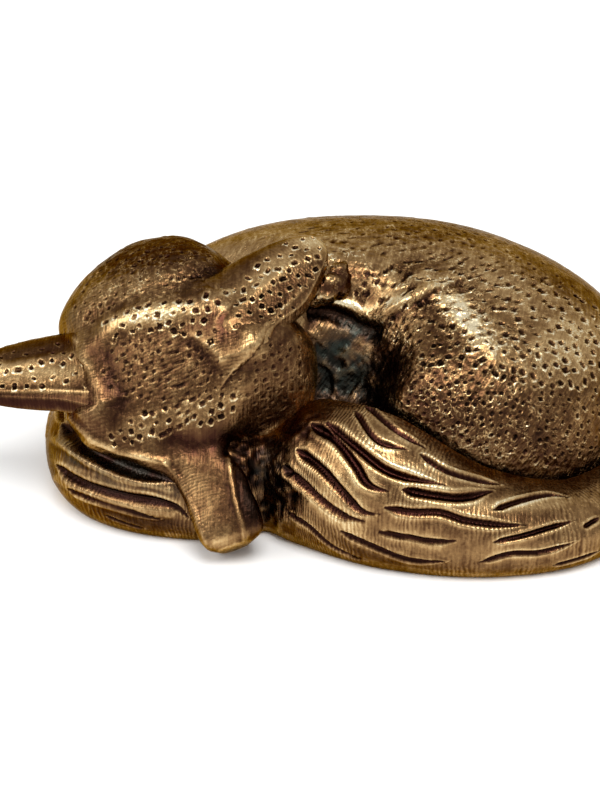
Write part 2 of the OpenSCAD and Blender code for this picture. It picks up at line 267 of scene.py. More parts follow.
def brushPoint(t, bearing):
    c, d, w, h = brushFrame(t)
    co, si = np.cos(np.radians(bearing)), np.sin(np.radians(bearing))
    x = w * signedPower(co, brush["squareness"])
    z = np.maximum(0, h * brush["middleUp"] + h * brush["halfHeight"] * signedPower(si, brush["squareness"]))
    lo, hi = -w, w
    for _ in range(12):  # halving finds where the section meets the body
        mid = (lo + hi) / 2
        free = besideBody(c[:, 0] + d[:, 1] * mid, c[:, 1] - d[:, 0] * mid, z)
        lo, hi = np.where(free, mid, lo), np.where(free, hi, mid)
    start = lo - 0.12 * w  # from here the section is pressed flat against the body
    at = np.where(x < start, x, start + (lo - start) * (x - start) / (w - start))
    return np.stack([c[:, 0] + d[:, 1] * at, c[:, 1] - d[:, 0] * at, z], 1)


def fetch(source, field, width=3):
    # a field of every point, as rows of numbers
    values = np.empty(len(source) * width, np.float32)
    source.foreach_get(field, values)
    return values.astype(float).reshape(-1, width)


def places(mesh):
    return fetch(mesh.vertices, "co")


def normals(mesh):
    return fetch(mesh.vertex_normals, "vector")


def setPlaces(mesh, points):
    mesh.vertices.foreach_set("co", np.ascontiguousarray(points, np.float32).ravel())
    mesh.update()


def keep(mesh, name, values):
    # an attribute of the points, which the material reads
    kind, field = ("FLOAT_VECTOR", "vector") if values.ndim == 2 else ("FLOAT", "value")
    layer = mesh.attributes.new(name, kind, "POINT")
    layer.data.foreach_set(field, np.ascontiguousarray(values, np.float32).ravel())


def asMesh(bm, name):
    mesh = bpy.data.meshes.new(name)
    bm.to_mesh(mesh)
    bm.free()
    return mesh


def gridMesh(name, columns, rows, shape):
    # a flat grid wrapped into a closed form; shape turns its two shares into points and a run along the form
    bm = bmesh.new()
    bmesh.ops.create_grid(bm, x_segments=columns, y_segments=rows, size=0.5)
    mesh = asMesh(bm, name)
    flat = places(mesh)[:, :2] + 0.5
    points, along = shape(flat[:, 0], flat[:, 1])
    keep(mesh, "along", along)
    setPlaces(mesh, points)
    bm = bmesh.new()
    bm.from_mesh(mesh)
    bmesh.ops.remove_doubles(bm, verts=bm.verts, dist=0.004)
    edges = [e for e in bm.edges if e.is_boundary]
    if edges:
        bmesh.ops.holes_fill(bm, edges=edges, sides=0)
    bmesh.ops.recalc_face_normals(bm, faces=bm.faces)
    if bm.calc_volume(signed=True) < 0:
        bmesh.ops.reverse_faces(bm, faces=bm.faces)
    for face in bm.faces:
        face.smooth = True
    bm.to_mesh(mesh)
    bm.free()
    return mesh


def squareToDisc(a, b):
    # a square grid spread evenly over a disc: bearing in degrees and share of the radius
    a, b = a * 2 - 1, b * 2 - 1
    wide = np.abs(a) >= np.abs(b)
    r = np.where(wide, np.abs(a), np.abs(b))
    safeA, safeB = np.where(a == 0, 1e-9, a), np.where(b == 0, 1e-9, b)
    fromSides = 45 * b / safeA + np.where(a < 0, 180, 0)
    fromEnds = 90 - 45 * a / safeB + np.where(b < 0, 180, 0)
    return np.where(wide, fromSides, fromEnds) % 360, r


def crowd(a, at, amount):
    # shares of a grid drawn together round one share, with both ends kept
    turn = 2 * math.pi
    return a - amount * (np.sin(turn * (a - at)) + math.sin(turn * at)) / turn


def bodyShape(a, b):
    # the points stand closest on the flank, where the punch marks are
    a, b = (crowd(share, at, body["crowding"]) for share, at in zip((a, b), body["crowdAt"]))
    bearing, r = squareToDisc(a, b)
    return bodyPoint(bearing, np.radians(90 - (90 + body["tuck"]) * r)), r


def headShape(a, b):
    return headPoint(a, b * 360 - 90), a * head["length"]


def runOf(path):
    # how far along a path each of its points lies, in mm
    return np.concatenate([[0], np.cumsum(np.linalg.norm(np.diff(path, axis=0), axis=1))])


def brushRun(t):
    stations = np.linspace(0, brushEnd, 400)
    return np.interp(t, stations, runOf(brushFrame(stations)[0]))


def brushShape(a, b):
    # most of the points lie over the top, and the seam is underneath
    top = 0.86
    bearing = np.where(b < top, -30 + 240 * b / top, 210 + 120 * (b - top) / (1 - top))
    return brushPoint(a * brushEnd, bearing), brushRun(a * brushEnd)


def earShape(place):
    def shape(a, b):
        return earPoint(place, a, b * 360), a * ear["length"]
    return shape


def seatOnBody(points, sink=0.6):
    # what would stand inside the hollow is brought up to just under the skin of the body
    top, share = bodyTop(points[:, 0], points[:, 1])
    inside = (share < 0.995) & (points[:, 2] < top - sink)
    moved = points.copy()
    moved[inside, 2] = top[inside] - sink
    return moved


# How each piece is worked. Places are pixels of the photograph, and depths, widths and reaches are mm
# pulls: from, to, reach, how much nearer the eye
# folds: line, half width, height; ledges: line, how far the left side reaches, height
# punches: the corners of a field, pixels from mark to mark, half width, depth and darkness of a mark
# strokes: line, half width, depth; hiddenStrokes: station and bearing at both ends, for the back
# lumps, hammer, rub, dark, red, green: patches by place, reach along and across, turn in degrees, amount. The
# lighter patches are rubbed wear and also painted highlights, and the darker ones are patina and also painted
# shade
plainWork = {
    "hiddenMarks": 0, "pulls": [], "folds": [], "ledges": [], "lumps": [], "hammer": [], "punches": {},
    "rub": [], "dark": [], "red": [], "green": [], "strokes": [], "hiddenStrokes": [],
}
headWork = {
    "hiddenMarks": 150, "hammered": 0.12,
    "pulls": [
        ((106, 418), (76, 414), 7.5, 0.0), ((138, 441), (112, 447), 6.5, 0.5),
        ((168, 453), (158, 460), 4.5, 0.5), ((298, 355), (307, 357), 6.0, 0.0),
        ((286, 384), (303, 390), 6.0, 0.0), ((272, 404), (289, 412), 5.0, 0.0),
        ((256, 424), (266, 432), 4.0, 0.0), ((231, 478), (243, 476), 3.6, 0.0),
        ((237, 508), (251, 506), 3.6, 0.0), ((248, 533), (259, 530), 3.4, 0.0),
    ],
    "folds": [
        ([(88, 350), (114, 322), (150, 312), (195, 308), (228, 296), (252, 278)], 2.6, 0.75),
        ([(95, 320), (125, 299), (165, 288), (205, 276), (232, 262)], 3.0, -0.65),
        ([(70, 418), (92, 440), (120, 452), (150, 459), (166, 463)], 0.8, 0.45),
        ([(166, 463), (180, 480), (194, 510), (206, 542)], 0.6, 0.3),
        ([(228, 458), (235, 498), (245, 536)], 0.7, 0.5),
        ([(174, 440), (200, 446), (222, 440)], 3.0, -0.75),
        ([(245, 448), (262, 436), (285, 422), (298, 408)], 0.8, 0.4),
    ],
    "ledges": [([(234, 370), (246, 354), (264, 333)], 3.0, 0.65)],
    "hammer": [(150, 265, 95, 40, -6, 0.16), (160, 365, 100, 62, 0, 0.05)],
    "punches": {
        "brow": ([(104, 322), (130, 306), (165, 302), (200, 297), (238, 280), (250, 296), (238, 326),
            (212, 344), (180, 336), (140, 330), (110, 338)], 9.0, 0.5, 0.27, 0.85),
        "face": ([(110, 342), (150, 340), (200, 348), (236, 345), (242, 396), (190, 402), (130, 398),
            (100, 380)], 7.2, 0.36, 0.2, 0.34),
        "cheek band": ([(108, 430), (150, 410), (185, 399), (215, 393), (240, 398), (230, 416),
            (182, 428), (142, 442), (112, 446)], 8.6, 0.47, 0.24, 0.75),
        "right cheek": ([(252, 350), (300, 335), (306, 380), (290, 412), (262, 428),
            (248, 400)], 8.0, 0.38, 0.13, 0.25),
        "dome": ([(70, 310), (100, 262), (150, 245), (210, 254), (222, 268), (170, 284), (120, 296),
            (90, 322)], 7.0, 0.42, 0.14, 0.22),
    },
    "rub": [
        (165, 315, 78, 11, -8, 0.66), (236, 290, 30, 11, -38, 0.5), (122, 450, 46, 6, 16, 0.45),
        (180, 415, 75, 12, -16, 0.32), (98, 366, 16, 10, 0, 0.25), (150, 455, 40, 5, 14, 0.25),
        (200, 500, 18, 48, -16, 0.24), (225, 545, 22, 7, 0, 0.3), (272, 430, 34, 6, -28, 0.35),
        (130, 283, 55, 14, -14, 0.3),
    ],
    "dark": [
        (160, 255, 100, 20, -2, 0.42), (215, 268, 26, 10, -15, 0.6), (252, 500, 13, 42, -12, 0.95),
        (82, 412, 34, 22, 20, 0.28), (98, 386, 17, 28, 0, 0.42), (219, 328, 13, 26, 0, 0.38),
        (208, 309, 20, 8, -20, 0.28), (284, 340, 46, 4, -46, 0.35), (160, 372, 85, 40, 0, 0.06),
        (165, 355, 75, 22, 0, 0.08),
    ],
    "red": [
        (212, 314, 28, 20, -20, 1.0), (196, 443, 36, 19, 0, 0.75), (82, 412, 34, 22, 20, 0.85),
        (285, 365, 26, 46, 0, 0.35), (95, 358, 20, 12, 0, 0.3), (150, 250, 80, 16, 0, 0.3),
    ],
    "green": [(66, 300, 10, 40, 0, 0.25)],
}
rightEarWork = {
    "hiddenMarks": 25, "hammered": 0.1,
    "pulls": [((300, 297), (303, 303), 4.5, 0.0)],
    "folds": [([(228, 322), (258, 290), (288, 266), (318, 254)], 1.3, 0.4)],
    "punches": {
        "top": ([(225, 300), (262, 258), (290, 240), (318, 234), (332, 246), (328, 262), (306, 278),
            (286, 300), (262, 322), (240, 334)], 9.0, 0.48, 0.24, 0.75),
        "lower": ([(240, 338), (290, 294), (314, 276), (304, 298), (262, 342),
            (244, 358)], 9.5, 0.34, 0.12, 0.45),
    },
    "rub": [
        (312, 242, 24, 11, 10, 0.75), (268, 272, 44, 11, -38, 0.62), (331, 254, 5, 14, 0, 0.5),
        (280, 312, 52, 2.5, -46, 0.45),
    ],
    "dark": [(282, 300, 46, 9, -44, 0.2)],
    "red": [(246, 262, 16, 12, 0, 0.5)],
}
leftEarWork = {
    "hiddenMarks": 25, "hammered": 0.1,
    "folds": [
        ([(100, 392), (50, 390), (0, 391), (-40, 388)], 0.6, 0.18),
        ([(90, 356), (50, 358), (0, 368)], 1.0, 0.35),
    ],
    "punches": {
        "face": ([(-40, 360), (0, 364), (40, 360), (92, 356), (98, 384), (60, 386), (0, 388),
            (-40, 382)], 10.5, 0.5, 0.26, 0.65),
        "top": ([(0, 345), (50, 332), (86, 340), (88, 352), (40, 356), (0, 362)], 10.0, 0.36, 0.12, 0.3),
    },
    "rub": [(20, 372, 84, 10, -2, 0.66), (50, 392, 64, 2, 0, 0.4)],
    "dark": [
        (30, 404, 90, 9, 2, 0.9), (84, 380, 10, 26, 0, 0.25), (60, 342, 40, 9, -16, 0.45),
        (20, 350, 40, 7, -16, 0.25),
    ],
    "red": [(30, 405, 80, 8, 2, 0.7), (62, 345, 34, 10, -16, 0.6)],
}
bodyWork = {
    "hiddenMarks": 520, "hammered": 0.32,
    "folds": [
        ([(305, 298), (325, 299), (350, 306), (362, 315), (378, 318), (400, 305), (430, 290)], 0.9, 0.7),
        ([(312, 312), (335, 314), (352, 322), (372, 332)], 1.6, -1.6),
        ([(365, 392), (395, 418), (435, 446)], 1.6, -0.5),
        ([(425, 283), (455, 306), (490, 350)], 2.8, 0.45),
    ],
    "ledges": [([(375, 322), (398, 308), (430, 292), (446, 286)], 3.0, 0.45)],
    "lumps": [(340, 368, 32, 44, -10, 0.8), (315, 350, 16, 50, 0, 0.6), (385, 390, 24, 18, 30, 0.2)],
    "hammer": [
        (420, 230, 190, 30, 6, 0.07), (480, 425, 110, 40, 14, 0.16), (340, 260, 40, 20, 0, 0.14),
        (464, 314, 60, 30, 44, 0.14), (400, 340, 30, 40, 20, 0.12),
    ],
    "punches": {
        "flank": ([(358, 270), (440, 258), (520, 272), (585, 296), (614, 330), (618, 392), (560, 388),
            (500, 378), (460, 368), (420, 364), (396, 348), (374, 324),
            (356, 296)], 8.4, 0.54, 0.3, 0.78),
        "haunch": ([(400, 366), (470, 372), (560, 392), (610, 400), (610, 440), (560, 466), (480, 452),
            (410, 410)], 6.6, 0.36, 0.22, 0.48),
        "back": ([(255, 238), (330, 222), (440, 220), (520, 244), (580, 292), (500, 268), (400, 252),
            (300, 256)], 8.0, 0.4, 0.15, 0.3),
    },
    "rub": [
        (464, 314, 44, 19, 44, 1.0), (430, 276, 40, 7, -14, 0.3), (568, 345, 46, 34, -20, 0.72),
        (392, 303, 24, 6, -24, 0.6), (342, 302, 36, 4, 10, 0.9), (500, 350, 64, 16, 20, 0.5),
        (500, 290, 90, 26, 22, 0.35), (410, 345, 30, 20, 40, 0.22), (420, 245, 170, 26, 6, 0.22),
        (505, 458, 76, 14, 14, 0.3),
    ],
    "dark": [
        (335, 372, 36, 44, -16, 0.32), (318, 345, 16, 44, 0, 0.42), (335, 338, 32, 16, 0, 0.6),
        (362, 272, 30, 12, 0, 0.42), (480, 422, 104, 32, 20, 0.36), (340, 232, 130, 7, -6, 0.1),
        (450, 222, 160, 6, 8, 0.12), (375, 395, 24, 12, 40, 0.5), (440, 236, 170, 16, 6, 0.1),
        (412, 358, 34, 44, 20, 0.64), (550, 275, 40, 12, 40, 0.12),
    ],
    "red": [
        (340, 290, 26, 18, 0, 0.5), (500, 458, 84, 16, 12, 0.75), (420, 405, 50, 24, 34, 0.5),
        (455, 438, 40, 12, 30, 0.7),
    ],
    "green": [(345, 362, 32, 36, 0, 0.75)],
}
brushWork = {
    "hammered": 0.08,
    "folds": [
        ([(55, 440), (87, 462), (120, 477), (170, 490)], 0.8, 0.45),
        ([(57, 478), (87, 498), (125, 509), (170, 514)], 0.8, 0.35),
    ],
    "lumps": [
        (276, 492, 24, 46, -6, 0.9), (305, 430, 26, 18, 0, 0.6), (248, 462, 24, 28, 0, 0.9),
        (118, 462, 76, 20, 18, 0.22),
    ],
    "rub": [
        (520, 484, 90, 6, 4, 0.4), (112, 480, 64, 2.5, 18, 0.5), (415, 474, 62, 14, 28, 0.46),
        (520, 504, 70, 8, -4, 0.6), (500, 548, 90, 10, -4, 0.15), (352, 478, 46, 10, 48, 0.22),
        (440, 462, 60, 6, 26, 0.3), (110, 468, 62, 4, 22, 0.18), (585, 500, 24, 40, 0, 0.25),
        (335, 515, 40, 8, 38, 0.2), (120, 505, 62, 4, 12, 0.3),
    ],
    "dark": [
        (275, 490, 24, 46, -6, 0.4), (118, 466, 80, 22, 18, 0.32), (305, 425, 26, 18, 0, 0.65),
        (246, 462, 24, 30, 0, 0.85), (120, 452, 72, 10, 22, 0.6), (330, 572, 60, 9, 18, 0.3),
        (110, 490, 66, 8, 10, 0.3), (140, 524, 76, 24, 14, 0.5), (360, 560, 110, 20, 14, 0.46),
        (200, 520, 30, 30, 0, 0.35),
    ],
    "red": [(380, 460, 80, 40, 30, 0.4), (120, 458, 70, 20, 18, 0.5), (290, 440, 36, 26, 0, 0.4)],
    "green": [(268, 480, 14, 40, 0, 0.3), (118, 466, 80, 24, 18, 0.45)],
    "strokes": [
        ([(355, 412), (377, 440), (412, 452)], 0.65, 0.7),
        ([(367, 400), (395, 430), (430, 452)], 0.65, 0.7),
        ([(420, 455), (450, 472), (505, 485)], 0.75, 0.9),
        ([(327, 422), (355, 447), (390, 472), (445, 485)], 0.95, 1.2),
        ([(312, 425), (335, 440), (355, 465), (367, 485), (390, 492)], 1.0, 1.2),
        ([(297, 450), (320, 470), (340, 492), (360, 510), (380, 515)], 1.0, 1.2),
        ([(282, 465), (300, 482), (320, 502), (340, 515), (365, 522)], 1.0, 1.2),
        ([(285, 510), (310, 527), (335, 547), (370, 562)], 0.6, 0.6),
        ([(340, 532), (370, 545), (410, 560), (450, 561)], 0.65, 0.7),
        ([(380, 531), (410, 537), (435, 542), (462, 541)], 0.6, 0.7),
        ([(385, 507), (410, 512), (440, 512), (465, 520), (500, 525), (527, 525)], 0.8, 0.6),
        ([(402, 490), (430, 495), (460, 497), (495, 491)], 1.0, 1.0),
        ([(495, 510), (522, 500), (550, 495), (572, 498)], 0.65, 0.8),
        ([(495, 542), (525, 535), (550, 527), (575, 520)], 0.55, 0.6),
        ([(480, 562), (510, 555), (540, 552), (580, 540)], 0.55, 0.6),
        ([(555, 565), (575, 560), (600, 550)], 0.5, 0.5), ([(585, 527), (600, 517)], 0.5, 0.5),
        ([(57, 465), (87, 485), (125, 497), (175, 507), (192, 522)], 1.1, 1.1),
        ([(67, 488), (100, 502), (132, 512), (165, 520)], 0.7, 0.7),
        ([(107, 515), (150, 530)], 0.45, 0.4), ([(62, 425), (95, 452), (130, 468), (178, 482)], 1.7, 1.3),
    ],
    "hiddenStrokes": [
        (0.15, 1.0, 60, 80), (0.1, 1.1, 95, 105), (0.2, 0.9, 125, 140), (0.3, 1.2, 150, 165),
        (0.2, 1.1, 30, 45), (9.3, 11.1, 15, 30), (9.8, 11.3, 45, 55), (9.2, 11.0, 75, 80),
        (9.9, 11.4, 105, 100), (9.4, 11.2, 135, 125), (9.7, 11.1, 165, 150), (8.6, 9.9, 0, 12),
        (9.0, 10.2, 30, 40),
    ],
}


def treeOf(points):
    tree = kdtree.KDTree(len(points))
    for i, p in enumerate(points):
        tree.insert(p, i)
    tree.balance()
    return tree


def look(mesh):
    # a piece's points, normals and pixels, with trees to search them
    seen = {"mesh": mesh, "points": places(mesh), "normals": normals(mesh)}
    seen["along"] = fetch(mesh.attributes["along"].data, "value", 1)[:, 0]
    seen["pixels"] = photoPlace(seen["points"])
    seen["facing"] = seen["normals"] @ toEye
    seen["front"] = np.nonzero(seen["facing"] > 0.03)[0]
    seen["flat"] = treeOf(np.c_[seen["pixels"][seen["front"]], np.zeros(len(seen["front"]))])
    seen["tree"] = treeOf(seen["points"])
    return seen


def under(seen, x, y, reach=12.0):
    # the nearest point that faces the eye, or nothing where the piece doesn't reach
    co, i, distance = seen["flat"].find((x, y, 0))
    return seen["front"][i] if distance < reach else None


def spread(seen, patches):
    # soft patches: place, reach along and across, turn in degrees, amount
    total = np.zeros(len(seen["points"]))
    for x, y, along, over, turn, amount in patches:
        a = math.radians(turn)
        dx, dy = (seen["pixels"] - (x, y)).T
        u, v = (dx * math.cos(a) + dy * math.sin(a)) / along, (dy * math.cos(a) - dx * math.sin(a)) / over
        total = np.maximum(total, amount * np.exp(-(u * u + v * v) ** 1.3))
    return total * smooth(seen["facing"], -0.12, 0.2)


def besideLine(seen, corners):
    # distance from a line in mm, and which side of it
    p = seen["pixels"]
    best, side = np.full(len(p), 1e9), np.zeros(len(p))
    for a, b in zip(corners, corners[1:]):
        a, b = np.array(a, float), np.array(b, float)
        f = np.clip((p - a) @ (b - a) / ((b - a) @ (b - a)), 0, 1)
        away = p - (a + f[:, None] * (b - a))
        d = np.hypot(*away.T)
        turn = (b - a)[0] * (p - a)[:, 1] - (b - a)[1] * (p - a)[:, 0]
        closer = d < best
        best, side = np.where(closer, d, best), np.where(closer, -np.sign(turn), side)
    return best / view["scale"], side


def pull(seen, pulls):
    # parts of a piece dragged to where the photograph has them
    points = seen["points"].copy()
    for (x, y), (toX, toY), reach, nearer in pulls:
        start = points[under(seen, x, y, 30)]
        step = (np.array([toX - x, 0, 0]) - viewUp * (toY - y)) / view["scale"] + toEye * nearer
        far = np.linalg.norm(points - start, axis=1)
        points += step * np.exp(-(far / reach) ** 2)[:, None]
    setPlaces(seen["mesh"], points)
    return look(seen["mesh"])


def lift(seen, heights):
    # points moved along their normals, less and less near the floor
    byFloor = smooth(seen["points"][:, 2], 0.0, 1.5)
    seen["points"] = seen["points"] + seen["normals"] * (heights * byFloor)[:, None]
    setPlaces(seen["mesh"], seen["points"])
    seen["normals"] = normals(seen["mesh"])


def throwDarts(corners, spacing, random, darts=3500):
    # places scattered in a field, none closer than the spacing
    xs, ys = np.array(corners, float).T
    found = []
    for x, y in random.uniform((xs.min(), ys.min()), (xs.max(), ys.max()), (darts, 2)):
        inField = False
        for ax, ay, bx, by in zip(xs, ys, np.roll(xs, -1), np.roll(ys, -1)):
            if (ay > y) != (by > y) and x < (bx - ax) * (y - ay) / (by - ay) + ax:
                inField = not inField
        if inField and all((x - a) ** 2 + (y - b) ** 2 > spacing**2 for a, b in found):
            found.append((x, y))
    return found


farOff = 9.0  # half widths from a mark or a stroke, for points that none reaches


def stamp(seen, marks, i, half, depth, bite, turn, slim=1.0):
    # one punch mark: place inside it in half widths, distance, depth, darkness and how far down it lies
    n = seen["normals"][i]
    right = unit(np.cross([0.0, 0.02, 1.0], n))  # a little off upright, so that no normal matches it
    rise = np.cross(n, right)
    a, b = right * math.cos(turn) + rise * math.sin(turn), rise * math.cos(turn) - right * math.sin(turn)
    reach = 2.2 * half * max(slim, 1 / slim)  # past the burr round the mark
    for co, k, d in seen["tree"].find_range(seen["points"][i], reach):
        offset = seen["points"][k] - seen["points"][i]
        x, y = offset @ a / (half * slim), offset @ b * slim / half
        m = (abs(x) ** 3 + abs(y) ** 3) ** (1 / 3)
        if m < marks[k, 2]:
            marks[k] = (x, y, m, depth, bite, -(offset @ rise) / half)


def carve(seen, lines):
    # distance from the nearest stroke in half widths, and its depth; a stroke starts blunt and runs out thin
    nearest, deep = np.full(len(seen["points"]), farOff), np.zeros(len(seen["points"]))
    for samples, halfWidth, depth in lines:
        for p, f in zip(samples, np.linspace(0, 1, len(samples))):
            taper = min(1.0, f / 0.12 + 0.25, (1 - f) / 0.30 + 0.12)
            for co, i, d in seen["tree"].find_range(p, 2.6 * halfWidth * taper):
                if d / (halfWidth * taper) < nearest[i]:
                    nearest[i], deep[i] = d / (halfWidth * taper), depth * taper
    return nearest, deep


def strokeLine(seen, corners):
    # a line over the surface through pixels, a point every 0.3 mm
    found = [under(seen, x, y, 16) for x, y in corners]
    spots = np.array([seen["points"][i] for i in found if i is not None])
    run = runOf(spots)
    return alongTable(np.c_[run, spots], np.arange(0, run[-1], 0.3))[:, 1:]


def evenOut(mesh, values, rounds):
    # each point takes the mean of itself and its neighbours, several times over
    ends = np.empty(len(mesh.edges) * 2, np.int32)
    mesh.edges.foreach_get("vertices", ends)
    a, b = ends.reshape(-1, 2).T
    n = len(values)
    share = (np.bincount(a, minlength=n) + np.bincount(b, minlength=n) + 1)[:, None]
    for _ in range(rounds):
        sums = [np.bincount(a, v[b], n) + np.bincount(b, v[a], n) for v in values.T]
        values = (values + np.stack(sums, 1)) / share
    return values


# Where an ear joins the skull: shares of the reach, and mm along the ear where the join fades out
join = {"flare": 0.45, "flareFade": (5.0, 9.0), "sweep": 0.5, "sweepFade": (7.0, 11.0)}


def flare(seen, other, reach):
    # the surface sweeps up where the root of another piece stands on it
    heights = np.zeros(len(seen["points"]))
    for i, p in enumerate(seen["points"]):
        co, k, d = other["tree"].find(p)
        if d < reach:
            fade = 1 - smooth(other["along"][k], *join["flareFade"])
            heights[i] = reach * join["flare"] * (1 - d / reach) ** 2 * fade
    lift(seen, heights)


def sweepOut(seen, ground, reach):
    # the root of a piece widens as it nears the surface that it stands on
    heights = np.zeros(len(seen["points"]))
    for i in np.nonzero(seen["along"] < join["sweepFade"][1])[0]:
        p = seen["points"][i]
        co, k, d = ground["tree"].find(p)
        above = d if (p - ground["points"][k]) @ ground["normals"][k] > 0 else 0.0
        heights[i] = reach * join["sweep"] * (1 - min(1.0, above / reach)) ** 2
    lift(seen, heights * (1 - smooth(seen["along"], *join["sweepFade"])))


# How the tools bite. A range is how far one mark differs from the next; noises are sizes in mm and shares;
# tilt, burr, arris, grain and hammer are how much a pit leans, metal is thrown up and the skin is uneven
tools = {
    "lumpNoise": ((2.1, 0.6), (1.0, 0.4)), "grainNoise": ((1.5, 0.55), (0.8, 0.45)),
    "half": (0.65, 1.2), "depth": (0.7, 1.2), "bite": (0.35, 1.1), "slim": (0.75, 1.35),
    "turn": 0.785, "swing": 0.7, "hiddenHalf": (0.3, 0.55), "hiddenDepth": 0.2, "hiddenBite": (0.15, 0.5),
    "hiddenTurn": (0, 3.1), "hiddenApart": 2.6, "hiddenStroke": (0.8, 0.8), "ledgeDrop": 0.35,
    "tilt": 0.45, "burr": 0.3, "arris": 0.14, "grain": 0.06, "hammer": 0.15, "edge": 0.12, "edgeRounds": 14,
}


def punch(seen, work, random):
    # marks by point: place in the mark in half widths, distance, depth, darkness, how far down it lies
    marks = np.zeros((len(seen["points"]), 6))
    marks[:, 2] = farOff
    for corners, spacing, half, depth, bite in work["punches"].values():
        for x, y in throwDarts(corners, spacing, random):
            i = under(seen, x, y, 3.0)
            if i is not None:
                stamp(seen, marks, i, half * random.uniform(*tools["half"]),
                      depth * random.uniform(*tools["depth"]), bite * random.uniform(*tools["bite"]),
                      tools["turn"] + random.uniform(-tools["swing"], tools["swing"]),
                      random.uniform(*tools["slim"]))
    hidden = []
    if work["hiddenMarks"]:
        hidden = np.nonzero((seen["facing"] < 0.05) & (seen["points"][:, 2] > 3))[0]
    taken = []
    for i in random.permutation(hidden)[:work["hiddenMarks"] * 6]:
        p = seen["points"][i]
        alone = all(np.sum((p - q) ** 2) > tools["hiddenApart"] for q in taken)
        if alone and len(taken) < work["hiddenMarks"]:
            taken.append(p)
            stamp(seen, marks, i, random.uniform(*tools["hiddenHalf"]), tools["hiddenDepth"],
                  random.uniform(*tools["hiddenBite"]), random.uniform(*tools["hiddenTurn"]),
                  random.uniform(*tools["slim"]))
    return marks


def workSurface(mesh, changes, seed, meets=(), ground=None):
    # pulls, folds, lumps, marks and strokes in turn, then what the finish reads
    work = {**plainWork, **changes}
    random = np.random.default_rng(seed)
    seen = pull(look(mesh), work["pulls"])
    heights = np.zeros(len(seen["points"]))
    front = smooth(seen["facing"], -0.05, 0.15)
    for corners, halfWidth, height in work["folds"]:
        heights += height * np.exp(-1.4 * (besideLine(seen, corners)[0] / halfWidth) ** 2) * front
    for corners, reach, height in work["ledges"]:
        away, side = besideLine(seen, corners)
        heights += height * np.exp(-(away / np.where(side > 0, reach, tools["ledgeDrop"])) ** 2) * front
    lift(seen, heights)
    if ground:
        sweepOut(seen, *ground)
    for other, reach in meets:
        flare(seen, other, reach)
    rough = layered(seen["points"], tools["lumpNoise"], seed)
    lift(seen, rough * 2 * spread(seen, work["lumps"]))
    grain = layered(seen["points"], tools["grainNoise"], seed + 2)
    marks = punch(seen, work, random)
    lines = [(strokeLine(seen, corners), half, depth) for corners, half, depth in work["strokes"]]
    for t0, t1, q0, q1 in work["hiddenStrokes"]:
        f = np.linspace(0, 1, 60)
        lines.append((brushPoint(t0 + (t1 - t0) * f, q0 + (q1 - q0) * f), *tools["hiddenStroke"]))
    stroke, strokeDeep = carve(seen, lines)
    off, deep, bite, low = marks.T[2:]
    low = np.clip(low, -1.3, 1.3)
    sunk = -deep * (1 - smooth(off, 0.3, 1.0)) * (1 - tools["tilt"] * low)
    sunk += tools["burr"] * deep * np.exp(-((off - 1.25) / 0.25) ** 2) * (0.5 + np.maximum(low, 0))
    arris = np.exp(-((stroke - 1.35) / 0.3) ** 2) * (stroke < 3)
    sunk += -strokeDeep * (1 - smooth(stroke, 0.1, 1.05)) + tools["arris"] * arris
    uneven = tools["grain"] + work["hammered"] * tools["hammer"] + spread(seen, work["hammer"])
    lift(seen, sunk + grain * uneven)
    evened = evenOut(mesh, seen["points"], tools["edgeRounds"])
    edge = np.einsum("ij,ij->i", seen["points"] - evened, seen["normals"])
    keep(mesh, "edge", np.clip(edge / tools["edge"], -1, 1))
    keep(mesh, "punch", marks[:, :3])
    keep(mesh, "bite", bite)
    keep(mesh, "lip", np.minimum(1, 2 * bite) * (0.15 + 0.9 * np.maximum(low, 0)) * (off < 1.9))
    keep(mesh, "stroke", stroke)
    unseen = 1 - smooth(seen["facing"], -0.1, 0.25)
    keep(mesh, "hammer", np.clip(work["hammered"] * (1 + unseen) + 5 * spread(seen, work["hammer"]), 0, 1))
    # lighter patches: rubbed wear and painted highlights; darker patches: patina and painted shade
    for kind in ("rub", "dark", "red", "green"):
        keep(mesh, kind, spread(seen, work[kind]))
    print(mesh.name, "worked")
    return seen


bodyMesh = gridMesh("fox_body", body["segments"], body["segments"], bodyShape)
headMesh = gridMesh("fox_head", head["rings"], head["sides"], headShape)
setPlaces(headMesh, seatOnBody(places(headMesh)))
brushMesh = gridMesh("fox_brush", brush["rings"], brush["sides"], brushShape)
rightEarMesh = gridMesh("fox_right_ear", ear["rings"], ear["sides"], earShape(rightSet))
leftEarMesh = gridMesh("fox_left_ear", ear["rings"], ear["sides"], earShape(leftSet))
print("forms made")
skull = look(headMesh)
rightEarSeen = workSurface(rightEarMesh, rightEarWork, 41, ground=(skull, 1.4))
leftEarSeen = workSurface(leftEarMesh, leftEarWork, 43, ground=(skull, 3.0))
workSurface(headMesh, headWork, 23, [(rightEarSeen, 2.2), (leftEarSeen, 3.0)])
workSurface(bodyMesh, bodyWork, 11)
workSurface(brushMesh, brushWork, 31)


# The CAD's outer skin is left out to this depth, edges sharper than the crease stay sharp, and a lip closes
# the gap between the worked skin and the rim
hollow = {"skin": 1.2, "rim": 0.02, "crease": 0.6, "lip": 1.5, "lipUp": 0.03}


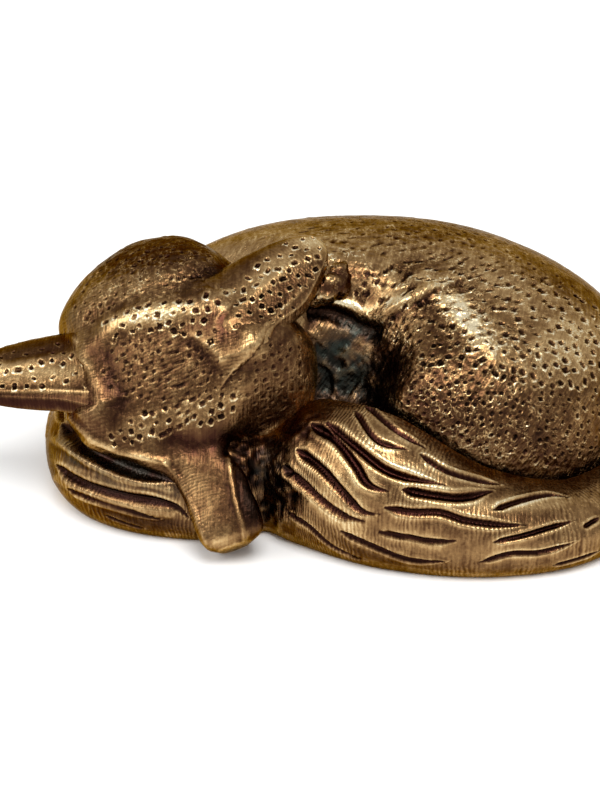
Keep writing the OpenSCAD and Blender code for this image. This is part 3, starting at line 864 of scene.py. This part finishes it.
def addHollow(mesh):
    # the inside of the casting: the CAD node's own hollow, bosses and rim, taken from a merged copy
    bm = bmesh.new()
    bm.from_mesh(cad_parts["body_casting"].data)
    bmesh.ops.scale(bm, vec=(1 / mm, 1 / mm, 1 / mm), verts=bm.verts)
    bmesh.ops.remove_doubles(bm, verts=bm.verts, dist=0.001)
    x, y, z = np.array([tuple(f.calc_center_median()) for f in bm.faces]).T
    wall = wallRadius(bearingOf(x, y), z, -hollow["skin"])
    top, share = bodyTop(x, y, -hollow["skin"])
    inner = (np.hypot(x - bodyCentre[0], y - bodyCentre[1]) < wall) & (z < top)
    outside = [f for f, kept in zip(bm.faces, inner | (z < hollow["rim"])) if not kept]
    bmesh.ops.delete(bm, geom=outside, context="FACES")
    for face in bm.faces:
        face.material_index = 1
        face.smooth = True
    for e in bm.edges:
        e.smooth = e.is_boundary or e.calc_face_angle(math.pi) <= hollow["crease"]
    spare = asMesh(bm, "hollow")
    bm = bmesh.new()
    bm.from_mesh(mesh)
    flat = [f for f in bm.faces if len(f.verts) > 20]  # the one that closes the form underneath
    bmesh.ops.delete(bm, geom=flat, context="FACES_ONLY")
    loop = [e for e in bm.edges if e.is_boundary]
    lip = bmesh.ops.extrude_edge_only(bm, edges=loop)["geom"]
    corners = [v for v in lip if isinstance(v, bmesh.types.BMVert)]
    centre = Vector((bodyCentre[0], bodyCentre[1], 0))
    for v in corners:
        v.co += (centre - v.co).normalized() * hollow["lip"]
        v.co.z = hollow["lipUp"]
    bm.from_mesh(spare)
    bm.to_mesh(mesh)
    bm.free()
    bpy.data.meshes.remove(spare)


addHollow(bodyMesh)
print("hollow made")

# Drops are places from the tip of the ear, and radii
solder = {"drops": [(-1.5, -4.2, 2.7), (0.4, -3.8, 2.9), (2.4, -3.6, 2.5), (3.2, -2.4, 1.7)], "rise": 0.8,
          "detail": 5, "blend": 2.2, "lump": 0.9, "finish": {"stroke": farOff, "red": 0.6, "hammer": 0.6}}


def solderMesh():
    # a run of metal between the tip of the ear and the flank, one skin drawn round its drops
    tip = rightSet["root"] + rightSet["axis"] * ear["length"]
    drops = []
    for x, y, r in solder["drops"]:
        top, share = bodyTop(np.array([tip[0] + x]), np.array([tip[1] + y]))
        drops.append((np.array([tip[0] + x, tip[1] + y, top[0] + solder["rise"]]), r))
    middle = np.mean([p for p, r in drops], axis=0)
    bm = bmesh.new()
    bmesh.ops.create_icosphere(bm, subdivisions=solder["detail"], radius=1)
    for face in bm.faces:
        face.smooth = True
    mesh = asMesh(bm, "ear_tip_run")
    ways, blend = places(mesh), solder["blend"]
    reach = np.full(len(ways), 1.0)
    for step in np.arange(0.2, 9, 0.1):  # outwards, to the last place inside the blended drops
        spot = middle + ways * step
        near = -np.log(sum(np.exp(-blend * (np.linalg.norm(spot - p, axis=1) - r)) for p, r in drops)) / blend
        reach = np.where(near < 0, step, reach)
    points = middle + ways * reach[:, None]
    coarse, fine = lattice(points, 1.6, 5) - 0.5, lattice(points, 0.8, 6) - 0.5
    setPlaces(mesh, points + ways * (coarse * solder["lump"] + fine * solder["lump"] * 0.5)[:, None])
    keep(mesh, "edge", np.clip((lattice(places(mesh), 1.6, 5) - 0.5) * 2, -1, 1))
    keep(mesh, "punch", np.full((len(ways), 3), farOff))
    for kind, amount in solder["finish"].items():
        keep(mesh, kind, np.full(len(ways), amount))
    return mesh


runMesh = solderMesh()
print("solder made")


def srgb(code):
    # a hex colour turned to linear
    parts = [int(code[i:i + 2], 16) / 255 for i in (1, 3, 5)]
    return tuple(p / 12.92 if p <= 0.04045 else ((p + 0.055) / 1.055) ** 2.4 for p in parts) + (1.0,)


def addNode(tree, kind, settings=None, links=None):
    # a setting names a socket or a property; a link gives a socket a node, an output or a number
    made = tree.nodes.new("ShaderNode" + kind)
    for key, value in (settings or {}).items():
        if isinstance(key, int) or key in made.inputs:
            made.inputs[key].default_value = value
        else:
            setattr(made, key, value)
    for key, source in (links or {}).items():
        if isinstance(source, (int, float)):
            made.inputs[key].default_value = source
        else:
            tree.links.new(source.outputs[0] if hasattr(source, "outputs") else source, made.inputs[key])
    return made


def newMaterial(name):
    material = bpy.data.materials.new(name)
    material.use_nodes = True
    material.node_tree.nodes.clear()
    return material, partial(addNode, material.node_tree)


# Brass cast, filed and punched by hand, darkened with liver of sulphur and rubbed back with wax: brown to
# reddish black where it is sunk, warm gold where a cloth reaches, with a low gloss all over; painted
# highlights and painted shade are laid into the same tone
# Amounts are each layer's share of the tone; noises are a size in mm and detail; dimple and teeth are mm
patina = {
    "tones": [(0.0, "#150d09"), (0.2, "#301d14"), (0.42, "#593e27"), (0.6, "#8a6a45"), (0.78, "#ba996a"),
              (0.92, "#dcc393"), (1.0, "#f2e2bd")],
    "redTint": "#3a1c17", "greenTint": "#3a433d", "edgeTint": "#cdb592", "roughness": 0.27,
    "tone": 0.4, "broad": 0.2, "mottle": 0.26, "fine": 0.18, "scratch": 0.3, "burr_and_glint": 0.34, "hatch": 0.035,
    "rub": 0.48, "dark": -0.42, "edge": 0.26, "rim": 0.26, "pit": -0.27, "arris": 0.05, "groove": -0.28,
    "scratchTurn": (0.0, 0.0, 0.0), "scratchDepth": 0.09, "dimpleDepth": 0.24, "grainDepth": 0.08,
    "noises": {"broad": (9, 2.0), "mottle": (2.4, 3.0), "fine": (0.6, 3.0), "ragged": (0.35, 1.0)},
    "dimple": 1.1, "teeth": 0.55,
}


def patinaMaterial(name, changes):
    use = {**patina, **changes}
    material, add = newMaterial(name)
    spot = add("TexCoord").outputs["Object"]
    layer = {kind: add("Attribute", {"attribute_name": kind}).outputs["Fac"]
         for kind in ("rub", "dark", "red", "green", "edge", "bite", "lip", "stroke", "along", "hammer")}
    for kind, (size, detail) in use["noises"].items():
        layer[kind] = add("TexNoise", {"Scale": 1 / (size * mm), "Detail": detail}, {"Vector": spot})
    # file and wire brush scratches, 0.4 mm apart so that they show, and 4 mm long
    drawn = add("Mapping", {"vector_type": "TEXTURE", "Rotation": use["scratchTurn"],
                "Scale": (0.4 * mm, 4 * mm, 4 * mm)}, {"Vector": spot})
    layer["scratch"] = add("TexNoise", {"Scale": 1.0, "Detail": 3.0}, {"Vector": drawn})
    # fine squiggles where the hammer threw up an edge, with painted glints on them
    thrown = add("Mapping", {"vector_type": "TEXTURE", "Rotation": (0.3, 0.5, 0.4),
                 "Scale": (0.7 * mm, 1.1 * mm, 0.9 * mm)}, {"Vector": spot})
    burr = add("TexNoise", {"Scale": 1.0, "Detail": 1.0}, {"Vector": thrown})
    burrLine = add("Math", {"operation": "COMPARE", 1: 0.5, 2: 0.028}, {0: burr})
    burrHere = add("MapRange", {"From Min": 0.42, "From Max": 0.55}, {"Value": layer["mottle"]})
    burrAt = add("Math", {"operation": "MULTIPLY"}, {0: burrLine, 1: burrHere})
    layer["burr_and_glint"] = add("Math", {"operation": "MULTIPLY"}, {0: burrAt, 1: layer["hammer"]})
    # hammered dimples
    cells = add("TexVoronoi", {"feature": "SMOOTH_F1", "Scale": 1 / (use["dimple"] * mm),
                "Smoothness": 0.4}, {"Vector": spot})
    dimple = add("Math", {"operation": "MULTIPLY"}, {0: cells, 1: layer["hammer"]})
    # punch marks, from their places inside the mark, with a ragged edge
    mark = add("SeparateXYZ", links={
        "Vector": add("Attribute", {"attribute_name": "punch"}).outputs["Vector"]})
    acrossMark = add("Math", {"operation": "ABSOLUTE"}, {0: mark.outputs[0]})
    upMark = add("Math", {"operation": "ABSOLUTE"}, {0: mark.outputs[1]})
    square = add("Math", {"operation": "SMOOTH_MAX", 2: 0.5}, {0: acrossMark, 1: upMark})
    reach = add("Math", {"operation": "MULTIPLY_ADD", 1: 1.1}, {
        0: add("Math", {"operation": "SUBTRACT", 1: 0.5}, {0: layer["ragged"]}), 2: square})
    near = add("MapRange", {"From Min": 1.4, "From Max": 1.75, "To Min": 1.0, "To Max": 0.0},
               {"Value": mark.outputs[2]})
    bitten = add("Math", {"operation": "MULTIPLY"}, {0: near, 1: layer["bite"]})
    pitShape = add("MapRange", {"interpolation_type": "SMOOTHSTEP", "From Min": 0.45,
                   "From Max": 1.0, "To Min": 1.0, "To Max": 0.0}, {"Value": reach})
    rimShape = add("Math", {"operation": "COMPARE", 1: 1.2, 2: 0.22}, {0: reach})
    layer["pit"] = add("Math", {"operation": "MULTIPLY"}, {0: pitShape, 1: bitten})
    layer["rim"] = add("Math", {"operation": "MULTIPLY"}, {0: rimShape, 1: layer["lip"]})
    # carved strokes, by their distance in half widths
    layer["groove"] = add("MapRange", {"interpolation_type": "SMOOTHSTEP", "From Min": 0.45,
                          "From Max": 1.1, "To Min": 1.0, "To Max": 0.0}, {"Value": layer["stroke"]})
    layer["arris"] = add("Math", {"operation": "COMPARE", 1: 1.35, 2: 0.25}, {0: layer["stroke"]})
    # file teeth across the brush
    waver = add("Math", {"operation": "MULTIPLY", 1: 14.0}, {0: layer["mottle"]})
    teethAt = add("Math", {"operation": "MULTIPLY_ADD", 1: 2 * math.pi / use["teeth"]},
                  {0: layer["along"], 2: waver})
    teeth = add("Math", {"operation": "SINE"}, {0: teethAt})
    teethIn = add("MapRange", {"From Min": 0.42, "From Max": 0.6}, {"Value": layer["broad"]})
    layer["hatch"] = add("Math", {"operation": "MULTIPLY"}, {0: teeth, 1: teethIn})
    # tone is how far the patina is rubbed through, with painted highlights and painted shade added; noises
    # swing it both ways
    tone = use["tone"] - 0.5 * (use["broad"] + use["mottle"] + use["fine"] + use["scratch"])
    for kind in ("broad", "mottle", "fine", "scratch", "burr_and_glint", "hatch", "rub", "dark", "edge", "rim", "pit",
                 "arris", "groove"):
        tone = add("Math", {"operation": "MULTIPLY_ADD", 1: use[kind]}, {0: layer[kind], 2: tone})
    ramp = add("ValToRGB", links={"Fac": tone})
    stops = ramp.color_ramp.elements
    for place, code in use["tones"][1:-1]:
        stops.new(place)
    for stop, (place, code) in zip(stops, use["tones"]):
        stop.position, stop.color = place, srgb(code)
    redness = add("Math", {"operation": "MULTIPLY_ADD", "use_clamp": True, 1: 0.55},
                  {0: layer["groove"], 2: layer["red"]})
    redFade = add("MapRange", {"From Min": 0.2, "From Max": 0.8, "To Min": 0.6, "To Max": 0.2},
                  {"Value": tone})
    redShare = add("Math", {"operation": "MULTIPLY"}, {0: redness, 1: redFade})
    tinted = add("Mix", {"data_type": "RGBA", 7: srgb(use["redTint"])}, {0: redShare, 6: ramp})
    blotch = add("MapRange", {"From Min": 0.35, "From Max": 0.6, "To Min": 0.2, "To Max": 1.0},
                 {"Value": layer["mottle"]})
    greenShare = add("Math", {"operation": "MULTIPLY", "use_clamp": True}, {0: layer["green"], 1: blotch})
    colour = add("Mix", {"data_type": "RGBA", 7: srgb(use["greenTint"])},
                 {0: greenShare, 6: tinted.outputs[2]})
    rough = add("Math", {"operation": "MULTIPLY_ADD", 1: 0.22},
                {0: layer["fine"], 2: use["roughness"] - 0.11})
    height = 0.0
    for part, amount in ((layer["scratch"], use["scratchDepth"]), (dimple, use["dimpleDepth"]),
                         (layer["fine"], use["grainDepth"]), (layer["burr_and_glint"], 0.1),
                         (layer["hatch"], use["hatch"] * 0.25), (layer["pit"], -0.3), (layer["rim"], 0.09),
                         (layer["arris"], 0.05)):
        height = add("Math", {"operation": "MULTIPLY_ADD", 1: amount}, {0: part, 2: height})
    bump = add("Bump", {"Strength": 1.0, "Distance": mm}, {"Height": height})
    shader = add("BsdfPrincipled", {"Metallic": 1.0, "Specular Tint": srgb(use["edgeTint"])},
                 {"Base Color": colour.outputs[2], "Roughness": rough, "Normal": bump})
    add("OutputMaterial", links={"Surface": shader})
    return material


headBrass = patinaMaterial("antiqued_brass_filed", {})
earBrass = patinaMaterial("antiqued_brass_filed_ear", {"tone": 0.44})
bodyBrass = patinaMaterial("antiqued_brass_hammered", {
    "scratchTurn": (0.0, 0.75, 0.0), "scratch": 0.4, "scratchDepth": 0.12})
brushBrass = patinaMaterial("antiqued_brass_carved", {"hatch": 0.09, "tone": 0.43})
runBrass = patinaMaterial("brazing_run_darkened", {
    "tone": 0.5, "scratch": 0.0, "roughness": 0.24, "edge": 0.35})

# Sand cast brass left as it came from the mould: dull, brown and grainy
castBrass, add = newMaterial("sand_cast_brass")
spot = add("TexCoord").outputs["Object"]
stain = add("TexNoise", {"Scale": 1 / (6 * mm), "Detail": 4.0}, {"Vector": spot})
sand = add("TexNoise", {"Scale": 1 / (0.5 * mm), "Detail": 2.0}, {"Vector": spot})
ramp = add("ValToRGB", links={"Fac": stain})
for stop, code in zip(ramp.color_ramp.elements, ("#5a4124", "#b08e58")):
    stop.color = srgb(code)
bump = add("Bump", {"Strength": 0.8, "Distance": 0.12 * mm}, {"Height": sand})
shader = add("BsdfPrincipled", {"Metallic": 1.0, "Roughness": 0.55}, {"Base Color": ramp, "Normal": bump})
add("OutputMaterial", links={"Surface": shader})

# Mild steel with bright zinc plating: pale grey, soft spangle and a little haze
steel, add = newMaterial("zinc_plated_steel")
spot = add("TexCoord").outputs["Object"]
haze = add("TexNoise", {"Scale": 1 / (0.8 * mm), "Detail": 3.0}, {"Vector": spot})
ramp = add("ValToRGB", links={"Fac": haze})
for stop, code in zip(ramp.color_ramp.elements, ("#74746f", "#a9a9a4")):
    stop.color = srgb(code)
rough = add("MapRange", {"To Min": 0.28, "To Max": 0.5}, {"Value": haze})
shader = add("BsdfPrincipled", {"Metallic": 1.0}, {"Base Color": ramp, "Roughness": rough})
add("OutputMaterial", links={"Surface": shader})
print("materials made")


def putInScene(name, data):
    made = bpy.data.objects.new(name, data)
    bpy.context.scene.collection.objects.link(made)
    return made


def finishPiece(mesh, node, material):
    setPlaces(mesh, places(mesh) * mm)
    piece = putInScene(mesh.name, mesh)
    mesh.materials.append(material)
    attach(piece, "root")
    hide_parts(node)
    print(mesh.name, len(mesh.vertices), "points")


for mesh, node, finish in ((bodyMesh, "body_casting", bodyBrass), (headMesh, "head_casting", headBrass),
                           (brushMesh, "tail_casting", brushBrass), (rightEarMesh, "right_ear", earBrass),
                           (leftEarMesh, "left_ear", earBrass)):
    finishPiece(mesh, node, finish)
finishPiece(runMesh, "ear_tip_solder", runBrass)
bodyMesh.materials.append(castBrass)
for name in ("neck_stud", "neck_washer", "neck_nut", "tail_screws", "tail_washers"):
    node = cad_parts[name]
    node.data.materials.clear()
    node.data.materials.append(steel)

# Lamps: place in metres, size, power
stage = {"floor": "#fbfbfa", "floorSize": 1.5, "backdrop": "#ffffff", "world": 0.75, "aim": (0, 0, 0.02),
         "softbox": ((0.05, -0.3, 0.6), 0.35, 3.0), "fill": ((-0.55, -0.3, 0.45), 0.5, 2.0)}


def stand(thing, at, target):
    # in place, and turned to look at the target
    thing.location = at
    thing.rotation_euler = (Vector(target) - Vector(at)).to_track_quat("-Z", "Y").to_euler()


floorMaterial, add = newMaterial("matt_paper")
shader = add("BsdfPrincipled", {"Base Color": srgb(stage["floor"]), "Roughness": 0.9})
add("OutputMaterial", links={"Surface": shader})
bm = bmesh.new()
bmesh.ops.create_grid(bm, x_segments=1, y_segments=1, size=stage["floorSize"])
floor = putInScene("floor", asMesh(bm, "floor"))
floor.data.materials.append(floorMaterial)

world = bpy.data.worlds.new("studio")
bpy.context.scene.world = world
world.use_nodes = True
world.node_tree.nodes.clear()
add = partial(addNode, world.node_tree)
background = add("Background", {"Color": srgb(stage["backdrop"]), "Strength": stage["world"]})
add("OutputWorld", links={"Surface": background})
for name in ("softbox", "fill"):
    at, size, power = stage[name]
    data = bpy.data.lights.new(name, "AREA")
    data.shape, data.size, data.energy = "DISK", size, power
    stand(putInScene(name, data), at, stage["aim"])

cameraData = bpy.data.cameras.new("camera")
cameraData.sensor_width = view["sensor"]
cameraData.lens = view["scale"] * view["distance"] * view["sensor"] / view["imageHeight"]
camera = putInScene("camera", cameraData)
eye = Vector((np.array(view["aim"]) + toEye * view["distance"]) * mm)
stand(camera, eye, Vector(view["aim"]) * mm)
bpy.context.scene.camera = camera
bpy.context.scene.view_settings.view_transform = "Standard"
print("stage made")
